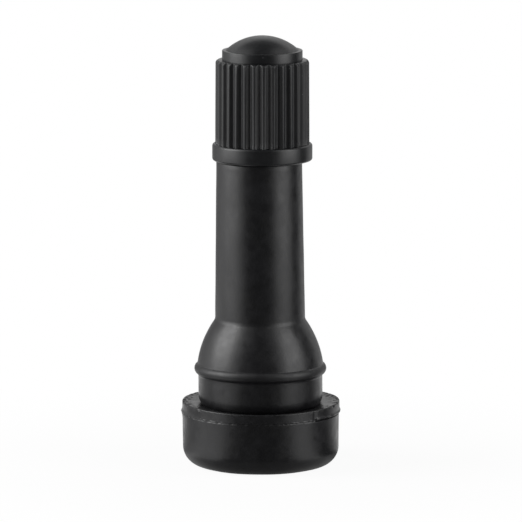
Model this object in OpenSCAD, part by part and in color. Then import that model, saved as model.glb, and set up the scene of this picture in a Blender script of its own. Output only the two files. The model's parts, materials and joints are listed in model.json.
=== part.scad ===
// Snap-in tubeless tyre valve with its screw cap on.
// Millimetres, +Z up along the valve. The origin is the middle of the base's lower face.
// The stack runs up from the base to the nose of the brass stem. The cap and the valve core hang from that nose.

/* [Rubber body] */
// Length of the valve from the base to the nose of the brass
valve_l = 48.9; // [44:0.1:60]
// Diameter of the base at its top edge
base_d = 19; // [18:0.1:22]
// Height of the base
base_h = 7.85; // [6.5:0.1:10]
// How much smaller the radius of the base is just above its lower edge
base_draft = 0.04; // [0:0.01:0.3]
// Rounding of the base's lower edge
base_edge_r = 2.3; // [0.5:0.1:3]
// Rounding of the base's top edge
base_rim_r = 0.2; // [0.1:0.05:0.5]
// Distance of the moulding seam below the base's top edge
seam_drop = 1.3; // [0.8:0.05:2.5]
// Section radius of the moulding seam
seam_r = 0.16; // [0.05:0.01:0.25]
// Diameter of the groove that sits in the rim hole
neck_d = 15; // [14:0.1:16]
// Height of the groove, from the base to the middle of the bead
neck_h = 4; // [3:0.1:7]
// Rounding at the foot of the groove
neck_fillet = 0.15; // [0.1:0.05:0.6]
// How far the retaining bead stands out of the groove
bead_out = 0.53; // [0.3:0.01:0.6]
// Section radius of the retaining bead
bead_r = 0.7; // [0.6:0.05:1.2]
// How far the bulb's curve stands out of the groove at its widest
bulb_out = 0.26; // [0.1:0.01:0.4]
// Depth of the bulb's widest place below the middle of the bead
bulb_sink = 1; // [0:0.1:2]
// Radius of the bulb's curved shoulder
bulb_arc_r = 12; // [9:0.1:16]
// Rounding between the bulb and the sleeve
crease_r = 1.05; // [0.3:0.05:3]
// Wall of the sleeve over the brass at its top
sleeve_wall = 1.34; // [0.9:0.02:1.8]
// How much larger the sleeve's radius is at its foot
sleeve_taper = 0.26; // [0:0.01:0.6]
// Rounding of the sleeve's top edge
sleeve_edge_r = 0.3; // [0.1:0.05:0.6]
// Diameter of the air passage through the base
air_d = 3.6; // [2.5:0.1:3.9]
// Chamfer at the mouth of the air passage
air_chamfer = 0.5; // [0.1:0.1:1.5]

/* [Brass stem] */
// Outer diameter of the cap thread
thread_d = 7.7; // [7.2:0.05:8.4]
// Length of brass that stands out of the rubber
bare_l = 11.65; // [8:0.05:14]
// Chamfer of the nose
nose_chamfer = 0.5; // [0.1:0.05:0.6]
// Length of full-diameter brass that the sleeve covers
covered_l = 2; // [1:0.1:5]
// Length of the cone from the shank to the thread
flare_l = 1.2; // [0.5:0.1:3]
// Diameter of the shank inside the rubber
shank_d = 6.4; // [5.8:0.1:7]
// Thickness of the rubber below the brass foot
foot_cover = 9; // [6:0.1:11]
// Diameter of the foot flange
foot_d = 8.2; // [7.4:0.1:10]
// Height of the foot flange
foot_h = 1.6; // [0.8:0.1:3]
// Number of grooves that key the brass in the rubber
key_n = 5; // [1:1:7]
// Width of a key groove
key_w = 1.6; // [1:0.1:2]
// Depth of a key groove
key_depth = 0.35; // [0.1:0.05:0.45]
// Diameter of the air bore
bore_d = 4; // [3.8:0.05:4.4]
// Outer diameter of the core thread
core_thread_d = 5.3; // [5:0.05:5.8]
// Depth of the core thread
core_thread_depth = 0.23; // [0.15:0.01:0.3]
// Chamfer at the mouth of the core thread
mouth_chamfer = 0.3; // [0.1:0.05:0.4]
// Height of the cone that the core's gasket sits in
seat_h = 1.4; // [1:0.1:2.5]

/* [Valve core] */
// Distance of the pin's tip below the nose
pin_recess = 0.1; // [0:0.05:0.6]
// Distance of the plug's bridge below the nose
bridge_recess = 1.3; // [1:0.1:2]
// Height of the bridge that the core tool turns
bridge_h = 3; // [2:0.1:4]
// Thickness of the bridge across its two flats
bridge_t = 1.9; // [1.8:0.05:2.4]
// Height of the plug's threaded ring
plug_h = 2.6; // [2:0.1:3.5]
// Diameter of the air hole through the plug
plug_bore_d = 3.1; // [2.8:0.05:3.3]
// Height of the lip that holds the barrel in the plug
crimp_h = 0.4; // [0.3:0.05:0.6]
// Diameter of the barrel's head
head_d = 3.8; // [3.6:0.05:4]
// Height of the barrel's head
head_h = 0.8; // [0.5:0.05:1.1]
// How far the barrel's neck is cut in below its head
head_step = 0.2; // [0.1:0.05:0.3]
// Height of the barrel's shoulder over the gasket
shoulder_h = 0.5; // [0.3:0.05:1]
// Height of the barrel's collar below the gasket
gasket_collar_h = 0.5; // [0.3:0.05:1]
// Depth of the gasket's groove in the barrel, from the barrel's collar
gasket_groove = 0.38; // [0.2:0.02:0.45]
// Wall of the barrel at the gasket's groove
barrel_wall = 0.35; // [0.25:0.05:0.45]
// Length of the barrel's tube below its collar
tube_l = 3.2; // [2:0.1:6]
// Thickness of the shelf that carries the spring in the barrel
shelf_t = 0.8; // [0.5:0.1:1.2]
// Width of the edge that the pin's seal closes on
lip_w = 0.25; // [0.15:0.05:0.3]
// Diameter of the pin
pin_d = 1; // [0.8:0.02:1.1]
// Diameter of the pin's tip
tip_d = 1.3; // [1.2:0.02:1.4]
// Height of the pin's tip
tip_h = 0.6; // [0.3:0.1:1]
// Thickness of the pin's collar over the spring
pin_collar_h = 0.4; // [0.2:0.05:0.7]
// Length of the spring while the valve is shut
spring_l = 5; // [4:0.1:5.4]
// Wire diameter of the spring
wire_d = 0.24; // [0.15:0.01:0.28]
// Turns of the spring, with one closed turn at each end
spring_turns = 8; // [5:1:10]
// Height of the pin's rubber seal
seal_h = 1; // [0.7:0.05:1.5]
// Wall of the cup that holds the seal
cup_wall = 0.25; // [0.15:0.05:0.3]
// Height of the seal that stands out of the cup
seal_proud = 0.25; // [0.1:0.05:0.5]
// Height of the rivet under the cup
rivet_h = 0.35; // [0.2:0.05:0.6]
// How far the rivet spreads past the pin
rivet_out = 0.3; // [0.1:0.05:0.5]

/* [Cap] */
// Wall of the cap from its bore to the crests of its ribs
cap_wall = 1.78; // [1.4:0.02:2.4]
// Number of ribs around the grip
rib_n = 30; // [18:1:40]
// Depth of the valleys between the ribs
rib_depth = 0.38; // [0.15:0.02:0.6]
// Width of a rib's crest
rib_crest_w = 0.24; // [0.1:0.02:0.3]
// Width of a valley's floor
rib_valley_w = 0.14; // [0.05:0.01:0.2]
// Turn of the ribs about the axis, in degrees
rib_turn = 8; // [0:0.5:12]
// How much smaller the grip's radius is at its top
grip_draft = 0.05; // [0:0.01:0.2]
// Rounding of the ribs' top ends
grip_round = 0.4; // [0.1:0.05:0.5]
// How far the collar stands out of the ribs
collar_out = 0.32; // [0.1:0.02:0.8]
// Height of the collar
collar_h = 2.05; // [1:0.05:3]
// Rounding of the collar's edges
collar_round = 0.3; // [0.1:0.05:0.45]
// Wall of the smooth ring above the ribs
ring_wall = 0.63; // [0.5:0.01:0.9]
// Height of the smooth ring
ring_h = 1.17; // [0.6:0.01:2]
// Width of the ledge between the ring and the dome
ledge_w = 0.22; // [0.05:0.01:0.4]
// Height of the dome
dome_h = 1.75; // [0.8:0.05:3]
// Thickness of the cap's roof at its middle
roof_t = 2.55; // [2.2:0.05:4]
// Thickness of the washer in the roof
washer_t = 1.1; // [0.6:0.1:2]
// Hole of the washer
washer_hole_d = 3; // [1.6:0.1:4.5]
// How far the washer reaches past the cap thread
washer_out = 0.3; // [0.15:0.01:0.35]
// Chamfer at the mouth of the cap
cap_chamfer = 0.5; // [0.2:0.1:1]

/* [Fits] */
// Radial clearance of both threads
thread_clear = 0.05; // [0.02:0.01:0.1]
// Gap between the cap's collar and the sleeve
cap_gap = 0.15; // [0.05:0.01:0.5]
// Clearance around the washer in its recess
washer_play = 0.05; // [0.02:0.01:0.1]
// Clearance of the swivel between plug and barrel
swivel_play = 0.05; // [0.03:0.01:0.1]
// Gap between the plug and the barrel's shoulder
plug_gap = 0.25; // [0.1:0.05:0.5]
// Radial gap between the barrel's shoulder or collar and the stem
barrel_gap = 0.12; // [0.05:0.01:0.2]
// Radial gap between the barrel's tube and the stem
tube_gap = 0.4; // [0.3:0.02:0.5]
// Radial gap between the cup and the stem
cup_gap = 0.25; // [0.15:0.01:0.35]
// Radial gap between the pin's tip and the bridge
tip_gap = 0.1; // [0.05:0.01:0.15]
// Radial gap between the pin's collar, the spring and the barrel
spring_gap = 0.14; // [0.08:0.01:0.2]
// Radial gap between the pin and the shelf
pin_gap = 0.35; // [0.2:0.05:0.4]

/* [Hidden] */
$fn = 96;
arc_steps = 10;
long_arc_steps = 20;
grip_arc_steps = 5;

// Radii and heights of the rubber
base_r = base_d / 2;
base_low_r = base_r - base_draft;
seam_z = base_h - seam_drop;
neck_r = neck_d / 2;
bead_z = base_h + neck_h;
bead_cx = neck_r + bead_out - bead_r;
bulb_cx = neck_r + bulb_out - bulb_arc_r;
bulb_z = bead_z - bulb_sink;
rubber_top = valve_l - bare_l;
sleeve_top_r = thread_d / 2 + sleeve_wall;
sleeve_foot_r = sleeve_top_r + sleeve_taper;
air_r = air_d / 2;

// The bead meets the groove below its middle, and the bulb's curve above it
bead_low_a = -acos((neck_r - bead_cx) / bead_r);
bead_from_bulb = [bead_cx - bulb_cx, bead_z - bulb_z];
bead_far = norm(bead_from_bulb);
bead_along = (pow(bead_far, 2) + pow(bulb_arc_r, 2) - pow(bead_r, 2)) / (2 * bead_far);
bead_across = sqrt(pow(bulb_arc_r, 2) - pow(bead_along, 2));
bead_dir = bead_from_bulb / bead_far;
bead_meet = [bulb_cx, bulb_z] + bead_along * bead_dir + bead_across * [-bead_dir[1], bead_dir[0]];
bead_high_a = atan2(bead_meet[1] - bead_z, bead_meet[0] - bead_cx);
bulb_low_a = atan2(bead_meet[1] - bulb_z, bead_meet[0] - bulb_cx);

// The crease touches the bulb's arc and the sleeve
crease_cx = sleeve_foot_r + crease_r;
crease_h = sqrt(pow(bulb_arc_r + crease_r, 2) - pow(crease_cx - bulb_cx, 2));
crease_a = atan2(crease_h, crease_cx - bulb_cx);

// Radii and heights of the brass
thread_r = thread_d / 2;
shank_r = shank_d / 2;
foot_r = foot_d / 2;
shank_low_z = foot_cover + foot_h + foot_r - shank_r;
shank_high_z = rubber_top - covered_l - flare_l;
key_pitch = (shank_high_z - shank_low_z) / (key_n + 1);
bore_r = bore_d / 2;
core_thread_r = core_thread_d / 2;
core_bore_r = core_thread_r - core_thread_depth;

// Heights of the core, down from the nose
bridge_top = valve_l - bridge_recess;
plug_top = bridge_top - bridge_h;
plug_low = plug_top - plug_h;
head_low = plug_low + crimp_h + swivel_play;
head_top = head_low + head_h;
shoulder_top = plug_low - plug_gap;
seat_top = shoulder_top - shoulder_h;
seat_low = seat_top - seat_h;
tube_top = seat_low - gasket_collar_h;
lip_z = tube_top - tube_l;
shelf_z = lip_z + shelf_t;
spring_top = shelf_z + spring_l;
cup_floor_z = lip_z - seal_h;
cup_low = cup_floor_z - cup_wall;

// Radii of the core
plug_r = core_thread_r - thread_clear;
bridge_r = core_bore_r - thread_clear;
head_r = head_d / 2;
barrel_neck_r = head_r - head_step;
shoulder_r = core_bore_r - barrel_gap;
gasket_collar_r = bore_r - barrel_gap;
groove_r = gasket_collar_r - gasket_groove;
spring_bore_r = groove_r - barrel_wall;
tube_r = bore_r - tube_gap;
pin_r = pin_d / 2;
tip_r = tip_d / 2;
shelf_r = pin_r + pin_gap;
pin_collar_r = spring_bore_r - spring_gap;
coil_r = spring_bore_r - spring_gap - wire_d / 2;
cup_r = bore_r - cup_gap;
seal_r = cup_r - cup_wall;

// Radii and heights of the cap
cap_bore_r = thread_r + thread_clear;
cap_low = rubber_top + cap_gap;
roof_z = valve_l + washer_t;
cap_top = roof_z + roof_t;
ring_top = cap_top - dome_h;
grip_top = ring_top - ring_h;
collar_top = cap_low + collar_h;
crest_r = cap_bore_r + cap_wall;
valley_r = crest_r - rib_depth;
collar_r = crest_r + collar_out;
washer_r = thread_r + washer_out;
recess_r = washer_r + washer_play;
ring_r = recess_r + ring_wall;
dome_r = ring_r - ledge_w;
dome_ball_r = (pow(dome_r, 2) + pow(dome_h, 2)) / (2 * dome_h);
// The ribs are cut from stock that reaches past their crests, and they root inside the cap's wall
rib_stock = 0.1;
grip_core_r = valley_r - 2 * rib_stock;
rib_root_r = (grip_core_r + cap_bore_r) / 2;
// How far a cut runs past the faces that it goes through
cut_over = 1;

// Facets along and around the spring's wire
coil_steps = 18;
wire_sides = 8;

rubber_colour = [0.1, 0.1, 0.11];
plastic_colour = [0.06, 0.06, 0.07];
brass_colour = [0.8, 0.66, 0.33];
steel_colour = [0.72, 0.73, 0.75];
ptfe_colour = [0.9, 0.88, 0.85];
seal_colour = [0.16, 0.15, 0.15];

// Points along a round stretch, from one angle to another
function arc(centre, r, from, to, steps = arc_steps) =
    [for (i = [0:steps]) let(a = from + (to - from) * i / steps) centre + r * [cos(a), sin(a)]];

// Outside of the brass from its foot to the top of the rubber, which the rubber is moulded on
function stem_in_rubber() = concat(
    [
        [foot_r, foot_cover],
        [foot_r, foot_cover + foot_h],
        [shank_r, shank_low_z]
    ],
    [for (i = [1:key_n]) each key_groove(shank_low_z + i * key_pitch)],
    [
        [shank_r, shank_high_z],
        [thread_r, shank_high_z + flare_l],
        [thread_r, rubber_top]
    ]
);

// One key groove with sides at 45 degrees
function key_groove(z) = [
    [shank_r, z - key_w / 2],
    [shank_r - key_depth, z - key_w / 2 + key_depth],
    [shank_r - key_depth, z + key_w / 2 - key_depth],
    [shank_r, z + key_w / 2]
];

// Bore of the brass from the nose down to the foot
function stem_bore() = [
    [core_thread_r + mouth_chamfer, valve_l],
    [core_thread_r, valve_l - mouth_chamfer],
    [core_thread_r, plug_low],
    [core_bore_r, plug_low - core_thread_depth],
    [core_bore_r, seat_top],
    [bore_r, seat_low],
    [bore_r, foot_cover]
];

// Outside of the rubber from the air passage up to the sleeve's top
function rubber_outside() = concat(
    [[air_r + air_chamfer, 0]],
    arc([base_low_r - base_edge_r, base_edge_r], base_edge_r, -90, 0),
    arc([base_r - base_draft * seam_drop / base_h, seam_z], seam_r, -90, 90),
    arc([base_r - base_rim_r, base_h - base_rim_r], base_rim_r, 0, 90),
    arc([neck_r + neck_fillet, base_h + neck_fillet], neck_fillet, 270, 180),
    arc([bead_cx, bead_z], bead_r, bead_low_a, bead_high_a, long_arc_steps),
    arc([bulb_cx, bulb_z], bulb_arc_r, bulb_low_a, crease_a, long_arc_steps),
    arc([crease_cx, bulb_z + crease_h], crease_r, 180 + crease_a, 180),
    arc([sleeve_top_r - sleeve_edge_r, rubber_top - sleeve_edge_r], sleeve_edge_r, 0, 90)
);

// Outline of the ribbed grip, from crests cut slightly large so that the drafted grip trims them
function rib_outline(r) = [
    for (i = [0:rib_n - 1])
        let(
            pitch = 360 / rib_n,
            crest_a = rib_crest_w / r * 90 / PI,
            valley_a = rib_valley_w / r * 90 / PI
        )
        for (p = [
            [r, -crest_a],
            [r, crest_a],
            [valley_r, pitch / 2 - valley_a],
            [valley_r, pitch / 2 + valley_a]
        ])
            let(a = rib_turn + i * pitch + p[1])
            p[0] * [cos(a), sin(a)]
];

// Height of the wire's middle above the shelf after so many turns. The first and last turns lie closed,
// and those in between share what is left of the spring's length.
function coil_z(turn) =
    let(
        active_l = spring_l - 3 * wire_d,
        last = spring_turns - 1
    )
    wire_d / 2 + (
        turn < 1 ? wire_d * turn :
        turn > last ? active_l + wire_d * (turn - last + 1) :
        wire_d + active_l * (turn - 1) / (last - 1)
    );

// Ring of points around the spring's wire after so many turns
function wire_ring(turn) = [
    for (k = [0:wire_sides - 1])
        let(
            r = coil_r + wire_d / 2 * cos(360 * k / wire_sides),
            z = coil_z(turn) + wire_d / 2 * sin(360 * k / wire_sides)
        )
        [r * cos(360 * turn), r * sin(360 * turn), z]
];

module revolve(points) {
    rotate_extrude() polygon(points);
}

module ring(inner_r, outer_r, low, high) {
    revolve([[inner_r, low], [outer_r, low], [outer_r, high], [inner_r, high]]);
}

module rubber_body() {
    stem = stem_in_rubber();
    color(rubber_colour)
        revolve(concat(
            rubber_outside(),
            [for (i = [len(stem) - 1:-1:0]) stem[i]],
            [[air_r, foot_cover], [air_r, air_chamfer]]
        ));
}

module brass_stem() {
    color(brass_colour)
        revolve(concat(
            stem_in_rubber(),
            [[thread_r, valve_l - nose_chamfer], [thread_r - nose_chamfer, valve_l]],
            stem_bore()
        ));
}

module cap_shell() {
    dome_a = asin(dome_r / dome_ball_r);
    revolve(concat(
        [[cap_bore_r + cap_chamfer, cap_low]],
        arc([collar_r - collar_round, cap_low + collar_round], collar_round, -90, 0),
        arc([collar_r - collar_round, collar_top - collar_round], collar_round, 0, 90),
        [[grip_core_r, collar_top], [grip_core_r, grip_top - grip_round], [ring_r, grip_top - grip_round]],
        arc([ring_r - ledge_w, ring_top - ledge_w], ledge_w, 0, 90),
        arc([0, cap_top - dome_ball_r], dome_ball_r, 90 - dome_a, 90, long_arc_steps),
        [
            [0, roof_z],
            [recess_r, roof_z],
            [recess_r, valve_l - washer_play],
            [cap_bore_r, valve_l - washer_play],
            [cap_bore_r, cap_low + cap_chamfer]
        ]
    ));
}

module cap_ribs() {
    top_r = crest_r - grip_draft;
    intersection() {
        translate([0, 0, collar_top - collar_round])
            linear_extrude(grip_top - collar_top + collar_round)
                polygon(rib_outline(crest_r + rib_stock));
        revolve(concat(
            [[rib_root_r, collar_top - collar_round], [crest_r, collar_top - collar_round]],
            arc([top_r - grip_round, grip_top - grip_round], grip_round, 0, 90, grip_arc_steps),
            [[rib_root_r, grip_top]]
        ));
    }
}

module valve_cap() {
    color(plastic_colour) {
        cap_shell();
        cap_ribs();
    }
}

module cap_seal() {
    color(seal_colour) ring(washer_hole_d / 2, washer_r, valve_l, roof_z);
}

module core_plug() {
    plug_bore_r = plug_bore_d / 2;
    color(brass_colour) {
        revolve([
            [barrel_neck_r + swivel_play, plug_low],
            [plug_r, plug_low],
            [plug_r, plug_top],
            [plug_bore_r, plug_top],
            [plug_bore_r, head_top],
            [head_r + swivel_play, head_top],
            [head_r + swivel_play, plug_low + crimp_h],
            [barrel_neck_r + swivel_play, plug_low + crimp_h]
        ]);
        difference() {
            intersection() {
                translate([0, 0, plug_top]) cylinder(r = bridge_r, h = bridge_h);
                translate([-bridge_r, -bridge_t / 2, plug_top]) cube([2 * bridge_r, bridge_t, bridge_h]);
            }
            translate([0, 0, plug_top - cut_over])
                cylinder(r = tip_r + tip_gap, h = bridge_h + 2 * cut_over);
        }
    }
}

module core_barrel() {
    color(brass_colour)
        revolve([
            [shelf_r, lip_z],
            [shelf_r + lip_w, lip_z],
            [tube_r, lip_z + tube_r - shelf_r - lip_w],
            [tube_r, tube_top],
            [gasket_collar_r, tube_top],
            [gasket_collar_r, seat_low],
            [groove_r, seat_low],
            [groove_r, seat_top],
            [shoulder_r, seat_top],
            [shoulder_r, shoulder_top],
            [barrel_neck_r, shoulder_top],
            [barrel_neck_r, head_low],
            [head_r, head_low],
            [head_r, head_top],
            [spring_bore_r, head_top],
            [spring_bore_r, shelf_z],
            [shelf_r, shelf_z]
        ]);
}

module barrel_gasket() {
    color(ptfe_colour)
        revolve([[groove_r, seat_low], [bore_r, seat_low], [core_bore_r, seat_top], [groove_r, seat_top]]);
}

module core_pin() {
    tip_top = valve_l - pin_recess;
    color(brass_colour)
        revolve([
            [0, cup_low - rivet_h],
            [pin_r, cup_low - rivet_h],
            [pin_r + rivet_out, cup_low],
            [pin_r, cup_low],
            [pin_r, spring_top],
            [pin_collar_r, spring_top],
            [pin_collar_r, spring_top + pin_collar_h],
            [pin_r, spring_top + pin_collar_h],
            [pin_r, tip_top - tip_h - tip_r + pin_r],
            [tip_r, tip_top - tip_h],
            [tip_r, tip_top],
            [0, tip_top]
        ]);
}

module core_spring() {
    rings = spring_turns * coil_steps;
    points = [for (i = [0:rings]) each wire_ring(i / coil_steps)];
    sides = [
        for (i = [0:rings - 1], k = [0:wire_sides - 1])
            let(
                next = (k + 1) % wire_sides,
                a = i * wire_sides,
                b = a + wire_sides
            )
            [a + k, a + next, b + next, b + k]
    ];
    ends = [
        [for (k = [wire_sides - 1:-1:0]) k],
        [for (k = [0:wire_sides - 1]) rings * wire_sides + k]
    ];
    color(steel_colour)
        translate([0, 0, shelf_z]) polyhedron(points, concat(sides, ends));
}

module pin_cup() {
    color(brass_colour)
        revolve([
            [pin_r, cup_low],
            [cup_r, cup_low],
            [cup_r, lip_z - seal_proud],
            [seal_r, lip_z - seal_proud],
            [seal_r, cup_floor_z],
            [pin_r, cup_floor_z]
        ]);
}

module pin_seal() {
    color(seal_colour) ring(pin_r, seal_r, cup_floor_z, lip_z);
}

rubber_body();
brass_stem();
valve_cap();
cap_seal();
core_plug();
core_barrel();
barrel_gasket();
core_pin();
core_spring();
pin_cup();
pin_seal();
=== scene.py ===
"""Looks of a snap-in tubeless tyre valve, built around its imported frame.

Sizes in the classes are millimetres and angles are degrees. Meshes are in metres, with +Z up along the
valve. Azimuths count from the camera's side: 0 is the front, 90 the right and -90 the left. An outline is an
array of (radius, height) rows. Values of the rows have one column, so that they combine with values of the
columns to a grid.
"""

import json
import logging
import math
from collections.abc import Mapping
from dataclasses import dataclass
from enum import Enum
from functools import cache
from typing import Any

import bmesh
import bpy
import numpy as np
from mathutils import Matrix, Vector


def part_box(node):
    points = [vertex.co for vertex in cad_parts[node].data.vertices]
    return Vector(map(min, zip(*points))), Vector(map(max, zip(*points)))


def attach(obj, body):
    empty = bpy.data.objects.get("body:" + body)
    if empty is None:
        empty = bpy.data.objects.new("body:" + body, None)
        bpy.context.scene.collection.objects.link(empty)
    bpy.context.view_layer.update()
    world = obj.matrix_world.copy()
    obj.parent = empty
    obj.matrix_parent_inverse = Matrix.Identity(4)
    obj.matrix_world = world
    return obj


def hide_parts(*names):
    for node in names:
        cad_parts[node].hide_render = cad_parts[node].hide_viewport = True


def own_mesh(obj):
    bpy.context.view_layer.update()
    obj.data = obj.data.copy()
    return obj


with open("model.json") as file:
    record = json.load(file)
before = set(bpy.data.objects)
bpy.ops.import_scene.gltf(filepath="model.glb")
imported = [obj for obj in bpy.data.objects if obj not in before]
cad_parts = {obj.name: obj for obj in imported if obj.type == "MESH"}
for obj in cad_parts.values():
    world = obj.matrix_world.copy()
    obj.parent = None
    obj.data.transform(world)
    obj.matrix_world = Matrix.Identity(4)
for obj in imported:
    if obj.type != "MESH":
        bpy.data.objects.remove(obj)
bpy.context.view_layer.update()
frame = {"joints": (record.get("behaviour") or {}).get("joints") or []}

Tree = bpy.types.NodeTree
Socket = bpy.types.NodeSocket
Pair = tuple[float, float]

LOG = logging.getLogger("tyre_valve")
MM = 0.001
INCH = 25.4
TURN = 2 * math.pi
WHITE = "#ffffff"
# Angle from +X to the side that faces the camera
FRONT_DEG = -90
# Points closer than this are one point, so seams and poles close
WELD_MM = 0.0004
# Edges that bend more than this stay crisp
CRISP_DEG = 38
# A rounding takes no more than this share of a side
SIDE_SHARE = 0.4


class Body(Enum):
    """Bodies of the frame that a piece can ride on."""

    VALVE = "valve"
    WASHER = "washer"
    CAP = "cap"
    PIN = "pin"


class Slot(Enum):
    """Material slots of the record."""

    RUBBER = "moulded_rubber"
    BRASS = "turned_brass"
    PLASTIC = "cap_plastic"
    SEAL = "seal_rubber"
    CORE = "core_brass"
    PTFE = "gasket_ptfe"
    STEEL = "spring_steel"


def linear(hex_colour: str) -> tuple[float, float, float, float]:
    """Turns an sRGB colour to linear: c / 12.92 if dark, else ((c + 0.055) / 1.055) to the power 2.4.

    Args:
        hex_colour: the colour as hex digits after a hash.

    Returns:
        Red, green, blue and 1.
    """
    srgb = np.array([int(hex_colour[i : i + 2], 16) / 255 for i in (1, 3, 5)])
    light = np.where(srgb <= 0.04045, srgb / 12.92, ((srgb + 0.055) / 1.055) ** 2.4)
    return (*light.tolist(), 1.0)


def empty_tree(owner: bpy.types.Material | bpy.types.World) -> Tree:
    """Gives a material or a world an empty node tree.

    Args:
        owner: the material or world.

    Returns:
        The tree.
    """
    owner.use_nodes = True
    owner.node_tree.nodes.clear()
    return owner.node_tree


def put(
    tree: Tree, kind: str, sockets: Mapping[str | int, Any] | None = None, **settings: Any
) -> bpy.types.Node:
    """Adds one node with its settings, and fills or links its inputs.

    Args:
        tree: node tree that takes the node.
        kind: type name of the node.
        sockets: a value, or an output to link, for each named or numbered input.
        settings: the node's own properties.

    Returns:
        The new node.
    """
    node = tree.nodes.new(kind)
    for name, value in settings.items():
        setattr(node, name, value)
    for name, value in (sockets or {}).items():
        if isinstance(value, Socket):
            tree.links.new(value, node.inputs[name])
        else:
            node.inputs[name].default_value = value
    return node


def calc(tree: Tree, operation: str, *terms: float | Socket, clamp: bool = False) -> Socket:
    """Adds one operation on numbers and outputs, kept between 0 and 1 if clamped, and returns its output."""
    node = put(tree, "ShaderNodeMath", dict(enumerate(terms)), operation=operation, use_clamp=clamp)
    return node.outputs["Value"]


def noise(tree: Tree, coords: Socket, width_mm: float, detail: float, roughness: float = 0.5) -> Socket:
    """Adds a random pattern of patches, with a number of finer layers, and returns its output of 0 to 1."""
    sockets = {"Vector": coords, "Scale": 1 / (width_mm * MM), "Detail": detail, "Roughness": roughness}
    return put(tree, "ShaderNodeTexNoise", sockets).outputs["Fac"]


def rescale(
    tree: Tree, value: Socket, old: Pair, new: Pair = (0.0, 1.0), curve: str = "LINEAR"
) -> Socket:
    """Adds a change from an old range of values to a new one, held at its ends, and returns its output."""
    sockets = {"Value": value, "From Min": old[0], "From Max": old[1], "To Min": new[0], "To Max": new[1]}
    return put(tree, "ShaderNodeMapRange", sockets, interpolation_type=curve).outputs["Result"]


def blend(tree: Tree, share: Socket, first: Socket | tuple, second: Socket | tuple) -> Socket:
    """Adds a mix of two colours, with the share of the second, and returns its output."""
    return put(tree, "ShaderNodeMix", {0: share, 6: first, 7: second}, data_type="RGBA").outputs[2]


@dataclass(frozen=True)
class Finish:
    """A material of the object, with a mottled colour, uneven gloss and a fine grain.

    Attributes:
        title: common name of the material and how its surface was made.
        slot: the record's slot that it stands for.
        colour: main colour, sRGB hex.
        accent: colour of the paler mottling, sRGB hex.
        roughness: lowest and highest roughness.
        ior: index of refraction.
        metallic: 1 on bare metal.
        mottle_mm: width of the patches of colour. Those of gloss are half as wide.
        mottle_span: values of the noise where the accent starts and where it is full.
        gloss_span: values of the noise where the roughness is lowest and where it is highest.
        grain_mm: width of the surface's grain.
        grain_depth_mm: height of the grain.
        swell_mm: width of the surface's faint swells.
        swell_depth_mm: height of the swells, 0 where there are none.
        zones: lower height, upper height and added roughness of each rougher zone, heights in mm.
    """

    title: str
    slot: Slot
    colour: str
    accent: str
    roughness: Pair
    ior: float = 1.5
    metallic: float = 0.0
    mottle_mm: float = 1.5
    mottle_span: Pair = (0.35, 0.7)
    gloss_span: Pair = (0.3, 0.7)
    grain_mm: float = 0.2
    grain_depth_mm: float = 0.004
    swell_mm: float = 1.0
    swell_depth_mm: float = 0.0
    zones: tuple[tuple[float, float, float], ...] = ()

    def tint(self, tree: Tree, coords: Socket) -> Socket:
        """Colour of the surface: noise mixes the main colour with the accent.

        Args:
            tree: the material's node tree.
            coords: object coordinates, in metres.

        Returns:
            The colour output.
        """
        patches = noise(tree, coords, self.mottle_mm, detail=4.0, roughness=0.6)
        share = rescale(tree, patches, self.mottle_span)
        return blend(tree, share, linear(self.colour), linear(self.accent))

    def relief(self, tree: Tree, coords: Socket) -> Socket:
        """Height of the grain, from 0 to 1: noise as wide as the grain."""
        return noise(tree, coords, self.grain_mm, detail=2.0)

    def roughen(self, tree: Tree, coords: Socket) -> Socket:
        """Roughness of the surface: noise runs between the lowest and the highest, plus what each zone adds.

        Args:
            tree: the material's node tree.
            coords: object coordinates, in metres.

        Returns:
            The roughness output.
        """
        gloss = noise(tree, coords, self.mottle_mm / 2, detail=5.0, roughness=0.65)
        rough = rescale(tree, gloss, self.gloss_span, self.roughness)
        height = put(tree, "ShaderNodeSeparateXYZ", {"Vector": coords}).outputs["Z"]
        for low, high, more in self.zones:
            inside = calc(tree, "COMPARE", height, (low + high) / 2 * MM, (high - low) / 2 * MM)
            rough = calc(tree, "MULTIPLY_ADD", inside, more, rough)
        return rough

    def build(self) -> bpy.types.Material:
        """Makes the material, in which each layer of relief bends the normal of the one before.

        Returns:
            The material.
        """
        material = bpy.data.materials.new(self.title)
        tree = empty_tree(material)
        coords = put(tree, "ShaderNodeTexCoord").outputs["Object"]
        layers = [(self.relief(tree, coords), self.grain_depth_mm)]
        if self.swell_depth_mm:
            layers.append((noise(tree, coords, self.swell_mm, detail=1.0), self.swell_depth_mm))
        normal = {}
        for height, depth_mm in layers:
            sockets = {"Height": height, "Distance": depth_mm * MM, "Strength": 1.0, **normal}
            normal = {"Normal": put(tree, "ShaderNodeBump", sockets).outputs["Normal"]}
        look = {
            "Base Color": self.tint(tree, coords),
            "Metallic": self.metallic,
            "Roughness": self.roughen(tree, coords),
            "IOR": self.ior,
        }
        shader = put(tree, "ShaderNodeBsdfPrincipled", look | normal)
        put(tree, "ShaderNodeOutputMaterial", {"Surface": shader.outputs["BSDF"]})
        return material


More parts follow.
